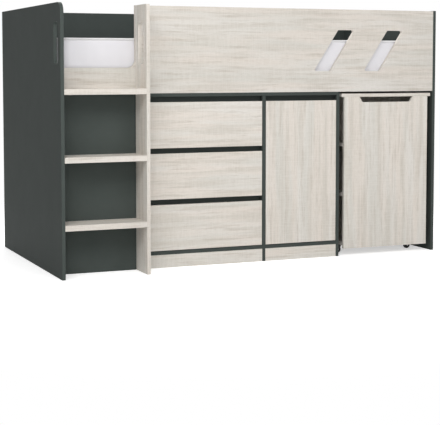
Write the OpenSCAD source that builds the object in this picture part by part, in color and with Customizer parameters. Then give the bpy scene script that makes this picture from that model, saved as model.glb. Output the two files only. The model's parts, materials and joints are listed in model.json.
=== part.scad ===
// Mid-height combination bed: a sleeping deck over a drawer and cupboard unit, with a ladder at its
// left end and, at its right end, a desk on castors that rolls out of its bay.
// Millimetres, +Z up, the front towards -Y and the ladder towards -X.
// The origin is on the floor, at the middle of the bed's plan.

/* [Mattress] */
// Length of the mattress
mattress_l = 1900; // [1800:10:2100]
// Width of the mattress
mattress_w = 900; // [840:10:1000]
// Thickness of the mattress
mattress_t = 155; // [120:5:180]
// Radius of the mattress's upright corners
mattress_r = 60; // [20:5:100]
// Room between the mattress and each end panel
room_l = 20; // [10:1:40]
// Room between the mattress and each guard
room_w = 4; // [2:1:20]

/* [Boards] */
// Thickness of the laminated boards
board = 16; // [14:1:20]
// Thickness of the storage unit's back panel
back_t = 6; // [3:1:10]

/* [Bed] */
// Height of the end panels and of the rear guard
bed_h = 1200; // [1150:5:1350]
// How far the front guard and the ladder stile stop short of that height
front_drop = 2; // [0:1:20]
// Height of the guards' lower edges, where the sleeping deck begins
deck_h = 802; // [780:2:850]
// Height of the slats' upper faces above the guards' lower edges
lie_up = 94; // [80:2:130]
// Height of the low rail that is climbed over at the entry
entry_rail_h = 116; // [100:2:150]
// Radius where the low rail meets the high part of the front guard
entry_r = 36; // [10:1:45]
// How far the high part of the front guard shows inside the entry
guard_lap = 1; // [0:1:12]
// Radius of the left end panel's front upper corner
corner_r = 45; // [10:1:70]

/* [Slanted slots] */
// Width of each slot, measured level
slant_w = 90; // [50:1:100]
// How far the slots lean from upright, in degrees
slant_angle = 33.6; // [0:0.1:38]
// Height of the slots' lower ends above the guard's lower edge
slant_up = 99; // [60:1:120]
// Distance from the guard's upper edge to the slots' upper ends
slant_drop = 99; // [60:1:120]
// Level distance from one slot to the next
slant_pitch = 272; // [240:2:320]
// Distance from the right end panel to the right slot's lower left corner
slant_inset = 394; // [350:1:420]
// Radius of the slots' corners
slant_r = 8; // [3:1:14]

/* [Ladder] */
// Depth of the ladder, from its front to the front of the bed
ladder_d = 150; // [120:2:200]
// Clear width of the ladder and of the entry above it
entry_w = 374; // [340:1:420]
// Thickness of the treads
tread_t = 25; // [18:1:36]
// Rise from one tread to the next
tread_rise = 295; // [250:0.5:310]
// Radius of the ladder stile's front upper corner
stile_r = 10; // [0:1:30]
// Width of the hand slots beside the ladder
grip_w = 74; // [50:1:90]
// Height of the hand slots
grip_h = 182; // [100:2:220]
// Distance from the ladder's front to the hand slots
grip_inset = 38; // [25:1:40]
// Distance from the top of the bed to the hand slots
grip_drop = 83; // [70:1:120]
// Radius of the hand slots' corners
grip_r = 18; // [5:1:24]

/* [Slats] */
// Number of slats
slat_n = 14; // [10:1:18]
// Width of a slat
slat_w = 72; // [50:1:90]
// Thickness of a slat
slat_t = 20; // [15:1:25]
// Distance from each end panel to the nearest slat
slat_end = 30; // [10:1:60]
// Play at each end of a slat
slat_play = 2; // [1:0.5:4]
// Width of the battens that carry the slats
batten_w = 30; // [22:1:45]
// Height of the battens that carry the slats
batten_h = 40; // [30:1:60]
// Height of the rear stretcher
stretcher_h = 160; // [100:5:220]
// Height of the rear stretcher's lower edge above the floor
stretcher_up = 440; // [300:5:560]

/* [Storage] */
// Depth of the storage unit
storage_d = 480; // [460:5:560]
// Clear width of the drawer bay
drawer_bay_w = 615; // [540:1:680]
// Clear width of the cupboard
cupboard_w = 378; // [330:1:430]
// Height of the plinths
plinth_h = 60; // [40:1:90]
// Height of the finger gap above each drawer and above the door
finger_gap = 25; // [18:1:32]
// How far the rails behind the finger gaps are set back
gap_recess = 30; // [24:1:50]
// Gap beside the drawer fronts and the door
front_gap = 2; // [1:0.5:4]
// Gap below the lowest drawer front and the door
foot_gap = 3; // [2:0.5:5]
// Diameter of the shelf pins
pin_d = 5; // [4:0.5:6]
// How far a shelf pin reaches into its board and into the cupboard
pin_reach = 8; // [6:0.5:10]
// Distance from the shelf's front and rear edges to its pins
pin_inset = 50; // [30:1:90]
// How far the shelf stands back behind the door
shelf_back = 20; // [5:1:60]

/* [Drawers] */
// Number of drawers
drawer_n = 3; // [3:1:3]
// Thickness of the drawer sides and backs
drawer_t = 12; // [10:1:15]
// Height of the drawer sides
drawer_side_h = 150; // [110:1:160]
// Length of the drawer sides
drawer_side_l = 440; // [380:5:450]
// Height of a drawer's sides above the lower edge of its front
drawer_up = 16; // [8:1:24]
// Thickness of the drawer bottoms
drawer_bottom_t = 4; // [3:0.5:6]
// Height of the grooves for the bottom above the sides' lower edges
groove_up = 10; // [8:1:16]
// Depth of the grooves for the bottom
groove_d = 6; // [4:0.5:8]
// Room for the runners between a drawer and its bay
runner_room = 13; // [12:0.5:15]
// Height of the runners fixed to the bay
runner_h = 36; // [28:1:45]
// Sheet thickness of the runners
runner_t = 1.5; // [1:0.1:2]
// Length of the runners fixed to the bay
runner_l = 430; // [360:5:440]
// Height of the runners' middle above the drawer sides' lower edge
runner_up = 45; // [35:1:70]

/* [Door hinges] */
// Diameter of the hinge cups
cup_d = 35; // [26:0.5:40]
// Depth of the hinge cups
cup_depth = 12; // [9:0.5:13]
// Distance from the door's edge to the hinge cups
cup_inset = 5; // [3:0.5:7]
// Distance from the door's upper and lower edges to the middles of the hinges
hinge_inset = 100; // [60:1:160]
// Height of the hinge flange
flange_h = 56; // [48:1:70]
// Thickness of the hinge flange
flange_t = 1.2; // [1:0.1:2]
// Height of the hinge arm
arm_h = 14; // [10:1:20]
// Width of the hinge arm
arm_w = 12; // [8:1:16]
// Length of the hinge arm
arm_l = 62; // [50:1:80]
// Thickness of the hinge's mounting plate
plate_t = 3; // [2:0.5:5]

/* [Desk] */
// Length of the desk
desk_l = 890; // [800:5:890]
// Gap between the desk top and each side of its bay
desk_side_gap = 12.5; // [8:0.5:20]
// Gap between the desk top and the bed above it
desk_top_gap = 10; // [6:0.5:20]
// How far the desk top stands out past the desk's front panel at each side
desk_over = 15.5; // [5:0.5:25]
// Height of the front panel's lower edge above the floor
desk_lift = 34; // [20:1:45]
// Depth of the shelf column behind the front panel
column_d = 257; // [220:1:300]
// Number of shelves between the column's bottom and the desk top
desk_shelf_n = 2; // [1:1:3]
// Width of the finger notch at its upper edge
notch_w = 299; // [200:1:340]
// Height of the finger notch
notch_h = 26; // [18:1:40]
// How far each end of the finger notch slopes in
notch_slope = 15; // [5:1:30]
// Radius of the finger notch's lower corners
notch_r = 14; // [3:1:16]
// Depth of the rear foot
foot_d = 84; // [76:1:120]
// Height of the rail along the side of the desk
desk_rail_h = 176; // [100:2:240]

/* [Castors] */
// Height from the floor to the top of a castor's plate
castor_h = 48; // [46:1:60]
// Diameter of the wheels
wheel_d = 34; // [28:1:35]
// Width of the wheels
wheel_w = 14; // [10:1:18]
// Diameter of the axles
axle_d = 5; // [4:0.5:7]
// How far each wheel trails behind its swivel
castor_trail = 14; // [8:1:16]
// Diameter of the swivel stud
stud_d = 8; // [6:0.5:10]
// Length and width of a castor's plate
castor_plate_w = 42; // [36:1:50]
// Thickness of a castor's plate
castor_plate_t = 2.5; // [2:0.5:4]
// Diameter of the fork's crown
crown_d = 28; // [24:1:34]
// Thickness of the fork's crown and its cheeks
fork_t = 2.5; // [2:0.5:3]
// Distance from the side edges of the desk's front panel to the middles of the castors
castor_inset = 35; // [32:1:60]
// Distance from the desk's front panel to the middles of the front castors
castor_back = 88; // [60:1:140]

/* [Clearances] */
// Gap between parts that move past each other
gap = 0.3; // [0.2:0.1:0.5]
// Radial clearance of the axles, studs and shelf pins in their holes
running = 0.05; // [0.03:0.01:0.1]

/* [Hidden] */
arc_steps = 8;
round_steps = 64;
dark = [0.23, 0.26, 0.25];
light = [0.86, 0.84, 0.80];
white = [0.94, 0.94, 0.95];
steel = [0.72, 0.73, 0.74];
black = [0.08, 0.08, 0.08];

body_d = mattress_w + 2 * room_w + 2 * board;
bed_l = mattress_l + 2 * room_l + 2 * board;
x_left = -bed_l / 2;
x_right = bed_l / 2;
in_left = x_left + board;
in_right = x_right - board;
y_front = -(ladder_d + body_d) / 2;
y_face = y_front + ladder_d;
y_rear = y_face + body_d;
y_in = y_face + board;
y_back = y_rear - board;
lie_z = deck_h + lie_up;
guard_top = bed_h - front_drop;

stile_x = in_left + entry_w;
drawer_x0 = stile_x + board;
drawer_x1 = drawer_x0 + drawer_bay_w;
door_x0 = drawer_x1 + board;
door_x1 = door_x0 + cupboard_w;
bay_x0 = door_x1 + board;

unit_y1 = y_face + storage_d;
unit_in_y1 = unit_y1 - back_t;
unit_top = deck_h - board;
floor_z = plinth_h + board;
front_z0 = floor_z + foot_gap;
front_z1 = unit_top - finger_gap;
front_h = (front_z1 - front_z0 - (drawer_n - 1) * finger_gap) / drawer_n;
shelf_z = (floor_z + unit_top - board) / 2;

box_x0 = drawer_x0 + runner_room;
box_x1 = drawer_x1 - runner_room;
box_y1 = y_in + drawer_side_l;

desk_x0 = bay_x0 + desk_side_gap;
desk_x1 = in_right - desk_side_gap;
panel_x0 = desk_x0 + desk_over;
panel_x1 = desk_x1 - desk_over;
desk_top_z = deck_h - desk_top_gap;
desk_under = desk_top_z - board;
desk_rear = y_face + desk_l;
desk_floor = castor_h + board;
panel_y = y_face + 1;
column_y0 = panel_y + board;
column_y1 = y_face + column_d;
leg_y0 = desk_rear - (foot_d + board) / 2;
niche_h = (desk_under - desk_floor - desk_shelf_n * board) / (desk_shelf_n + 1);

crown_z1 = castor_h - castor_plate_t - gap;
crown_z0 = crown_z1 - fork_t;
castor_xs = [panel_x0 + castor_inset, panel_x1 - castor_inset];
castor_ys = [column_y0 + castor_back, desk_rear - foot_d / 2];

// Points of the arc that rounds corner b, between a and c, with radius r
function corner(a, b, c, r) =
    r == 0 ? [b] :
    let (u = (a - b) / norm(a - b), v = (c - b) / norm(c - b),
         half = acos(u * v) / 2,
         middle = b + (u + v) / norm(u + v) * r / sin(half),
         start = b + u * r / tan(half) - middle,
         end = b + v * r / tan(half) - middle,
         turn = (cross(start, end) < 0 ? -1 : 1) * (180 - 2 * half))
    [for (i = [0:arc_steps]) let (t = turn * i / arc_steps)
        middle + [start[0] * cos(t) - start[1] * sin(t), start[0] * sin(t) + start[1] * cos(t)]];

// An outline with a radius at each of its corners
function rounded(points, radii) =
    let (n = len(points))
    [for (i = [0:n - 1]) each corner(points[(i + n - 1) % n], points[i], points[(i + 1) % n], radii[i])];

// The four corners of a rectangle
function rect(low, high) = [low, [high[0], low[1]], high, [low[0], high[1]]];

// An outline with the same radius at all of its corners
function rounded_all(points, r) = rounded(points, [for (p = points) r]);

// A block between two corners
module block(low, high) {
    translate(low) cube(high - low);
}

// A board across the bed, its outline given as [y, z] points, t thick towards +X from x
module side_board(points, x, t) {
    translate([x, 0, 0]) rotate([90, 0, 90]) linear_extrude(t) polygon(points);
}

// A board along the bed, its outline given as [x, z] points, t thick towards +Y from y
module front_board(points, y, t) {
    translate([0, y + t, 0]) rotate([90, 0, 0]) linear_extrude(t) polygon(points);
}

// Outline of the hand slot beside the ladder
function grip_outline() =
    rounded_all(rect([y_front + grip_inset, bed_h - grip_drop - grip_h],
                     [y_front + grip_inset + grip_w, bed_h - grip_drop]), grip_r);

module left_end_panel() {
    color(dark) difference() {
        side_board(rounded(rect([y_front, 0], [y_rear, bed_h]), [0, 0, 0, corner_r]), x_left, board);
        side_board(grip_outline(), x_left - 1, board + 2);
    }
}

module right_end_panel() {
    color(dark) block([in_right, y_face, 0], [x_right, y_rear, bed_h]);
}

// Outline of one slanted slot, x being its lower left corner
function slant_outline(x) =
    let (z0 = deck_h + slant_up, z1 = guard_top - slant_drop, lean = (z1 - z0) * tan(slant_angle))
    rounded_all([[x, z0], [x + slant_w, z0], [x + slant_w + lean, z1], [x + lean, z1]], slant_r);

module front_guard_panel() {
    rail_z = deck_h + entry_rail_h;
    high_x = stile_x - guard_lap;
    outline = [[in_left, deck_h], [in_right, deck_h], [in_right, guard_top], [high_x, guard_top],
               [high_x, rail_z], [in_left, rail_z]];
    color(light) difference() {
        front_board(rounded(outline, [0, 0, 0, 0, entry_r, 0]), y_face, board);
        for (i = [0:1])
            front_board(slant_outline(in_right - slant_inset - i * slant_pitch), y_face - 1, board + 2);
    }
}

module rear_guard_panel() {
    color(dark) block([in_left, y_back, deck_h], [in_right, y_rear, bed_h]);
}

module ladder_stile() {
    outline = rounded(rect([y_front, 0], [y_face, guard_top]), [0, 0, 0, stile_r]);
    color(light) difference() {
        side_board(outline, stile_x, board);
        side_board(grip_outline(), stile_x - 1, board + 2);
    }
}

// The tread that lies i rises below the deck
module tread(i) {
    z = deck_h - i * tread_rise;
    color(light) block([in_left, y_front, z], [stile_x, y_face, z + tread_t]);
}

module lower_tread() {
    tread(2);
}

module middle_tread() {
    tread(1);
}

module upper_tread() {
    tread(0);
}

module ladder_back_panel() {
    color(dark) block([in_left, y_face, 0], [stile_x, y_in, deck_h]);
}

module slat_battens() {
    z1 = lie_z - slat_t;
    color(light) for (y = [y_in, y_back - batten_w])
        block([in_left, y, z1 - batten_h], [in_right, y + batten_w, z1]);
}

module bed_slats() {
    pitch = (in_right - in_left - 2 * slat_end - slat_w) / (slat_n - 1);
    color(light) for (i = [0:slat_n - 1])
        let (x = in_left + slat_end + i * pitch)
        block([x, y_in + slat_play, lie_z - slat_t], [x + slat_w, y_back - slat_play, lie_z]);
}

module rear_stretcher() {
    color(dark) block([in_left, y_back, stretcher_up], [in_right, y_rear, stretcher_up + stretcher_h]);
}

// An upright board of the storage unit, x being its left face
module unit_upright(x) {
    color(dark) block([x, y_face, 0], [x + board, unit_in_y1, unit_top]);
}

// The holes of the shelf pins, and the pins themselves when grow is 0
module pin_places(grow) {
    for (x = [door_x0, door_x1], y = [y_in + shelf_back + pin_inset, unit_in_y1 - pin_inset])
        translate([x - pin_reach, y, shelf_z - pin_d / 2]) rotate([0, 90, 0])
            cylinder(d = pin_d + 2 * grow, h = 2 * pin_reach, $fn = round_steps);
}

module storage_left_side() {
    unit_upright(stile_x);
}

module storage_partition() {
    color(dark) difference() {
        unit_upright(drawer_x1);
        pin_places(running);
    }
}

module storage_right_side() {
    color(dark) difference() {
        unit_upright(door_x1);
        pin_places(running);
    }
}

module storage_top() {
    color(dark) block([stile_x, y_face, unit_top], [bay_x0, unit_y1, deck_h]);
}

module storage_floors() {
    color(dark) for (x = [[drawer_x0, drawer_x1], [door_x0, door_x1]])
        block([x[0], y_face, plinth_h], [x[1], unit_in_y1, floor_z]);
}

module storage_plinths() {
    color(light) for (x = [[drawer_x0, drawer_x1], [door_x0, door_x1]])
        block([x[0], y_face, 0], [x[1], y_in, plinth_h]);
}

// Height of the lower edge of drawer front i, counted from the floor
function front_low(i) = front_z0 + i * (front_h + finger_gap);

module finger_gap_rails() {
    y = y_face + gap_recess;
    color(dark) {
        for (i = [1:drawer_n])
            block([drawer_x0, y, front_low(i) - finger_gap], [drawer_x1, y + board, front_low(i)]);
        block([door_x0, y, unit_top - finger_gap], [door_x1, y + board, unit_top]);
    }
}

module storage_back() {
    color(dark) block([stile_x, unit_in_y1, plinth_h], [bay_x0, unit_y1, unit_top]);
}

module cupboard_shelf() {
    color(dark) block([door_x0, y_in + shelf_back, shelf_z], [door_x1, unit_in_y1, shelf_z + board]);
}

module shelf_pins() {
    color(steel) pin_places(0);
}

// A channel along Y from y, open towards +X when side is 1 and towards -X when it is -1
module channel(x, y, z, w, h, length, side) {
    outline = [[0, -h / 2], [w, -h / 2], [w, runner_t - h / 2], [runner_t, runner_t - h / 2],
               [runner_t, h / 2 - runner_t], [w, h / 2 - runner_t], [w, h / 2], [0, h / 2]];
    translate([x, y + length, z]) rotate([90, 0, 0]) linear_extrude(length)
        polygon([for (p = outline) [side * p[0], p[1]]]);
}

// Height of the middle of drawer i's runners
function runner_z(i) = front_low(i) + drawer_up + runner_up;

module cabinet_runners() {
    w = runner_room - runner_t - 1;
    color(steel) for (i = [0:drawer_n - 1]) {
        channel(drawer_x0, y_in + gap, runner_z(i), w, runner_h, runner_l, 1);
        channel(drawer_x1, y_in + gap, runner_z(i), w, runner_h, runner_l, -1);
    }
}

// The front of drawer i
module drawer_front(i) {
    color(light) block([drawer_x0 + front_gap, y_face, front_low(i)],
                       [drawer_x1 - front_gap, y_in, front_low(i) + front_h]);
}

module drawer_sides(i) {
    z = front_low(i) + drawer_up;
    inner = drawer_t - groove_d;
    color(light) difference() {
        for (x = [box_x0, box_x1 - drawer_t])
            block([x, y_in, z], [x + drawer_t, box_y1, z + drawer_side_h]);
        block([box_x0 + inner, y_in - 1, z + groove_up],
              [box_x1 - inner, box_y1 + 1, z + groove_up + drawer_bottom_t]);
    }
}

module drawer_back(i) {
    z = front_low(i) + drawer_up;
    color(light) block([box_x0 + drawer_t, box_y1 - drawer_t, z + groove_up + drawer_bottom_t],
                       [box_x1 - drawer_t, box_y1, z + drawer_side_h]);
}

module drawer_bottom(i) {
    z = front_low(i) + drawer_up + groove_up;
    inner = drawer_t - groove_d;
    color(light) block([box_x0 + inner, y_in, z], [box_x1 - inner, box_y1, z + drawer_bottom_t]);
}

module drawer_runners(i) {
    w = runner_room - runner_t - 1;
    h = runner_h - 2 * runner_t - 2 * gap;
    color(steel) {
        channel(box_x0, y_in, runner_z(i), w, h, drawer_side_l, -1);
        channel(box_x1, y_in, runner_z(i), w, h, drawer_side_l, 1);
    }
}

module lower_drawer_front() {
    drawer_front(0);
}

module lower_drawer_sides() {
    drawer_sides(0);
}

module lower_drawer_back() {
    drawer_back(0);
}

module lower_drawer_bottom() {
    drawer_bottom(0);
}

module lower_drawer_runners() {
    drawer_runners(0);
}

module middle_drawer_front() {
    drawer_front(1);
}

module middle_drawer_sides() {
    drawer_sides(1);
}

module middle_drawer_back() {
    drawer_back(1);
}

module middle_drawer_bottom() {
    drawer_bottom(1);
}

module middle_drawer_runners() {
    drawer_runners(1);
}

module upper_drawer_front() {
    drawer_front(2);
}

module upper_drawer_sides() {
    drawer_sides(2);
}

module upper_drawer_back() {
    drawer_back(2);
}

module upper_drawer_bottom() {
    drawer_bottom(2);
}

module upper_drawer_runners() {
    drawer_runners(2);
}

// Heights of the middles of the two hinges
hinge_zs = [front_z0 + hinge_inset, front_z1 - hinge_inset];
cup_x = door_x0 + front_gap + cup_inset + cup_d / 2;

module cup_places(r) {
    for (z = hinge_zs)
        translate([cup_x, y_in, z]) rotate([90, 0, 0]) cylinder(r = r, h = cup_depth, $fn = round_steps);
}

module cupboard_door() {
    color(light) difference() {
        block([door_x0 + front_gap, y_face, front_z0], [door_x1 - front_gap, y_in, front_z1]);
        cup_places(cup_d / 2 + running);
    }
}

module hinge_cups() {
    color(steel) union() {
        cup_places(cup_d / 2);
        for (z = hinge_zs)
            block([door_x0 + front_gap + 1, y_in, z - flange_h / 2],
                  [cup_x + cup_inset, y_in + flange_t, z + flange_h / 2]);
    }
}

module hinge_arms() {
    y0 = y_in + flange_t + gap;
    plate_l = arm_l * 0.6;
    color(steel) for (z = hinge_zs) {
        block([door_x0, y0 + arm_l - plate_l, z - flange_h / 2],
              [door_x0 + plate_t, y0 + arm_l, z + flange_h / 2]);
        block([door_x0 + plate_t, y0, z - arm_h / 2],
              [door_x0 + plate_t + arm_w, y0 + arm_l, z + arm_h / 2]);
    }
}

module desk_top() {
    color(light) block([desk_x0, y_face, desk_under], [desk_x1, desk_rear, desk_top_z]);
}

module desk_front_panel() {
    middle = (panel_x0 + panel_x1) / 2;
    half = notch_w / 2;
    low = desk_under - notch_h;
    outline = [[panel_x0, desk_lift], [panel_x1, desk_lift], [panel_x1, desk_under],
               [middle + half, desk_under], [middle + half - notch_slope, low],
               [middle - half + notch_slope, low], [middle - half, desk_under],
               [panel_x0, desk_under]];
    color(light) front_board(rounded(outline, [0, 0, 0, 0, notch_r, notch_r, 0, 0]), panel_y, board);
}

module desk_upright() {
    color(light) block([panel_x0, column_y1 - board, desk_floor], [panel_x1, column_y1, desk_under]);
}

module desk_shelves() {
    color(light) {
        block([panel_x0, column_y0, castor_h], [panel_x1, column_y1, desk_floor]);
        for (i = [1:desk_shelf_n])
            let (z = desk_floor + i * niche_h + (i - 1) * board)
            block([panel_x0, column_y0, z], [panel_x1 - board, column_y1 - board, z + board]);
    }
}

module desk_column_side() {
    color(light) block([panel_x1 - board, column_y0, desk_floor], [panel_x1, column_y1 - board, desk_under]);
}

module desk_leg() {
    color(light) block([panel_x0, leg_y0, desk_floor], [panel_x1, leg_y0 + board, desk_under]);
}

module desk_foot() {
    color(light) block([panel_x0, desk_rear - foot_d, castor_h], [panel_x1, desk_rear, desk_floor]);
}

module desk_rail() {
    color(light) block([panel_x1 - board, column_y1, desk_under - desk_rail_h],
                       [panel_x1, leg_y0, desk_under]);
}

// Plates with their swivel studs, whose heads hold the forks
module castor_plates() {
    head_t = fork_t / 2;
    half = castor_plate_w / 2;
    color(steel) for (x = castor_xs, y = castor_ys) translate([x, y, 0]) {
        block([-half, -half, castor_h - castor_plate_t], [half, half, castor_h]);
        translate([0, 0, crown_z0 - gap - head_t])
            cylinder(d = stud_d, h = castor_h - castor_plate_t - crown_z0 + gap + head_t, $fn = round_steps);
        translate([0, 0, crown_z0 - gap - head_t]) cylinder(d = stud_d + 4, h = head_t, $fn = round_steps);
    }
}

// A fork whose wheel trails towards -X
module castor_fork(x, y) {
    axle_z = wheel_d / 2;
    cheek_x = wheel_w / 2 + 1;
    eye = axle_d / 2 + 2;
    neck = crown_d / 4;
    cheek = [[-neck, crown_z1], [-neck, crown_z0], [castor_trail - eye, axle_z],
             [castor_trail, axle_z - eye], [castor_trail + eye, axle_z], [neck + 2, crown_z1]];
    color(black) translate([x, y, 0]) rotate([0, 0, 90]) {
        difference() {
            union() {
                translate([0, 0, crown_z0]) cylinder(d = crown_d, h = fork_t, $fn = round_steps);
                for (side = [-cheek_x - fork_t, cheek_x])
                    side_board(cheek, side, fork_t);
            }
            translate([0, 0, crown_z0 - 1])
                cylinder(d = stud_d + 2 * running, h = fork_t + 2, $fn = round_steps);
        }
        translate([-cheek_x - fork_t / 2, castor_trail, axle_z]) rotate([0, 90, 0])
            cylinder(d = axle_d, h = 2 * cheek_x + fork_t, $fn = round_steps);
    }
}

// A wheel with a rounded tread and a dished hub
module castor_wheel(x, y) {
    r = wheel_d / 2;
    bore = axle_d / 2 + running;
    half = wheel_w / 2;
    edge = wheel_w / 8;
    dish = wheel_w / 6;
    side = [[bore, half], [r * 0.35, half], [r * 0.45, half - dish], [r * 0.7, half - dish],
            [r * 0.78, half], [r - edge, half], [r, half - edge]];
    other = [for (i = [len(side) - 1:-1:0]) [side[i][0], -side[i][1]]];
    color(black) translate([x - castor_trail, y, r]) rotate([90, 0, 0])
        rotate_extrude($fn = round_steps) polygon(concat(side, other));
}

module front_left_castor_fork() {
    castor_fork(castor_xs[0], castor_ys[0]);
}

module front_left_castor_wheel() {
    castor_wheel(castor_xs[0], castor_ys[0]);
}

module front_right_castor_fork() {
    castor_fork(castor_xs[1], castor_ys[0]);
}

module front_right_castor_wheel() {
    castor_wheel(castor_xs[1], castor_ys[0]);
}

module rear_left_castor_fork() {
    castor_fork(castor_xs[0], castor_ys[1]);
}

module rear_left_castor_wheel() {
    castor_wheel(castor_xs[0], castor_ys[1]);
}

module rear_right_castor_fork() {
    castor_fork(castor_xs[1], castor_ys[1]);
}

module rear_right_castor_wheel() {
    castor_wheel(castor_xs[1], castor_ys[1]);
}

module mattress() {
    y = y_in + room_w;
    outline = rect([in_left + room_l, y], [in_right - room_l, y + mattress_w]);
    color(white) translate([0, 0, lie_z + gap])
        linear_extrude(mattress_t) polygon(rounded_all(outline, mattress_r));
}

left_end_panel();
right_end_panel();
front_guard_panel();
rear_guard_panel();
ladder_stile();
lower_tread();
middle_tread();
upper_tread();
ladder_back_panel();
slat_battens();
bed_slats();
rear_stretcher();
storage_left_side();
storage_partition();
storage_right_side();
storage_top();
storage_floors();
storage_plinths();
finger_gap_rails();
storage_back();
cupboard_shelf();
shelf_pins();
cabinet_runners();
hinge_arms();
lower_drawer_front();
lower_drawer_sides();
lower_drawer_back();
lower_drawer_bottom();
lower_drawer_runners();
middle_drawer_front();
middle_drawer_sides();
middle_drawer_back();
middle_drawer_bottom();
middle_drawer_runners();
upper_drawer_front();
upper_drawer_sides();
upper_drawer_back();
upper_drawer_bottom();
upper_drawer_runners();
cupboard_door();
hinge_cups();
desk_top();
desk_front_panel();
desk_upright();
desk_shelves();
desk_column_side();
desk_leg();
desk_foot();
desk_rail();
castor_plates();
front_left_castor_fork();
front_left_castor_wheel();
front_right_castor_fork();
front_right_castor_wheel();
rear_left_castor_fork();
rear_left_castor_wheel();
rear_right_castor_fork();
rear_right_castor_wheel();
mattress();
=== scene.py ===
import itertools
import json
import math

import bmesh
import bpy
from mathutils import Matrix, Vector, noise

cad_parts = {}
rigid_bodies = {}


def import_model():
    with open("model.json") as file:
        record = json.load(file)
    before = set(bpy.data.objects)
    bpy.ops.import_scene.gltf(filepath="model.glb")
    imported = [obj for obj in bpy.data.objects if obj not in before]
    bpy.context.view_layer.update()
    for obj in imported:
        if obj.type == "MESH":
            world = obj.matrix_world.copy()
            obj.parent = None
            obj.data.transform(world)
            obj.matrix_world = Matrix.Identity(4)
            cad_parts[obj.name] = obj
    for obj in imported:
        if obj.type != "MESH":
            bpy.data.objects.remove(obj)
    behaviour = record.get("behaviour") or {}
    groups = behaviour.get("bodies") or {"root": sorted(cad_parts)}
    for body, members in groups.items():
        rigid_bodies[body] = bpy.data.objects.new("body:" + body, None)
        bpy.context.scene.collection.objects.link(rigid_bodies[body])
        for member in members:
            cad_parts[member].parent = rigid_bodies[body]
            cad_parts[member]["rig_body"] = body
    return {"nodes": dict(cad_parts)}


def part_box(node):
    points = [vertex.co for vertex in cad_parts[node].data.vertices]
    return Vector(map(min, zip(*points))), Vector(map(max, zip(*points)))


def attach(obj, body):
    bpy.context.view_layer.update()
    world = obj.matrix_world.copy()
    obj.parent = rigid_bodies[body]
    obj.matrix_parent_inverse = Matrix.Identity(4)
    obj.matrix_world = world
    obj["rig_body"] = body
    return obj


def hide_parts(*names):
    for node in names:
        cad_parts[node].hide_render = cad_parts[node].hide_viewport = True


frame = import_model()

# The looks of a mid-height bed with drawers, a cupboard, a ladder and a desk on castors.
# Metres, +Z up, front towards -Y, ladder towards -X, origin on the floor at the middle of the plan.
scene = bpy.context.scene
scene.view_settings.view_transform = "Standard"
cadNodes = frame["nodes"]
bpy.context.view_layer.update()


# Camera, floor and light

cameraSpec = {
    "place": (-2.4087, -5.6728, 0.9243),
    "turn": 22.865,  # degrees from +Y towards +X
    "tilt": 3.923,  # degrees below level
    "focal": 1232.9,  # in pixels of a frame that is frameWidth wide
    "frameWidth": 440,
    "shiftY": -0.14,  # keeps the uprights near parallel, as in the photograph
}


def addObject(name, data):
    made = bpy.data.objects.new(name, data)
    scene.collection.objects.link(made)
    return made


def toMesh(mesh, name):
    data = bpy.data.meshes.new(name)
    mesh.to_mesh(data)
    mesh.free()
    return data


def makeCamera(spec):
    data = bpy.data.cameras.new("camera")
    data.lens = data.sensor_width * spec["focal"] / spec["frameWidth"]
    data.shift_y = spec["shiftY"]
    scene.camera = addObject("camera", data)
    scene.camera.location = spec["place"]
    scene.camera.rotation_euler = (math.radians(90 - spec["tilt"]), 0, -math.radians(spec["turn"]))


makeCamera(cameraSpec)
print("camera ready")


class Wire:
    # An output of a node tree; arithmetic on it adds Math nodes
    def __init__(self, tree, socket):
        self.tree = tree
        self.socket = socket

    def reckon(self, operation, *values):
        node = self.tree.nodes.new("ShaderNodeMath")
        node.operation = operation
        for place, value in enumerate(values):
            plug(self.tree, node.inputs[place], value)
        return Wire(self.tree, node.outputs[0])

    def __add__(self, other):
        return self.reckon("ADD", self, other)

    def __sub__(self, other):
        return self.reckon("SUBTRACT", self, other)

    def __mul__(self, other):
        return self.reckon("MULTIPLY", self, other)

    def wave(self):
        return self.reckon("SINE", self)

    def most(self, other):
        return self.reckon("MAXIMUM", self, other)


def plug(tree, socket, value):
    if isinstance(value, Wire):
        tree.links.new(value.socket, socket)
    elif hasattr(value, "__len__") and len(value) == 3 and len(socket.default_value) == 4:
        socket.default_value = (*value, 1)
    else:
        socket.default_value = value


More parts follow.
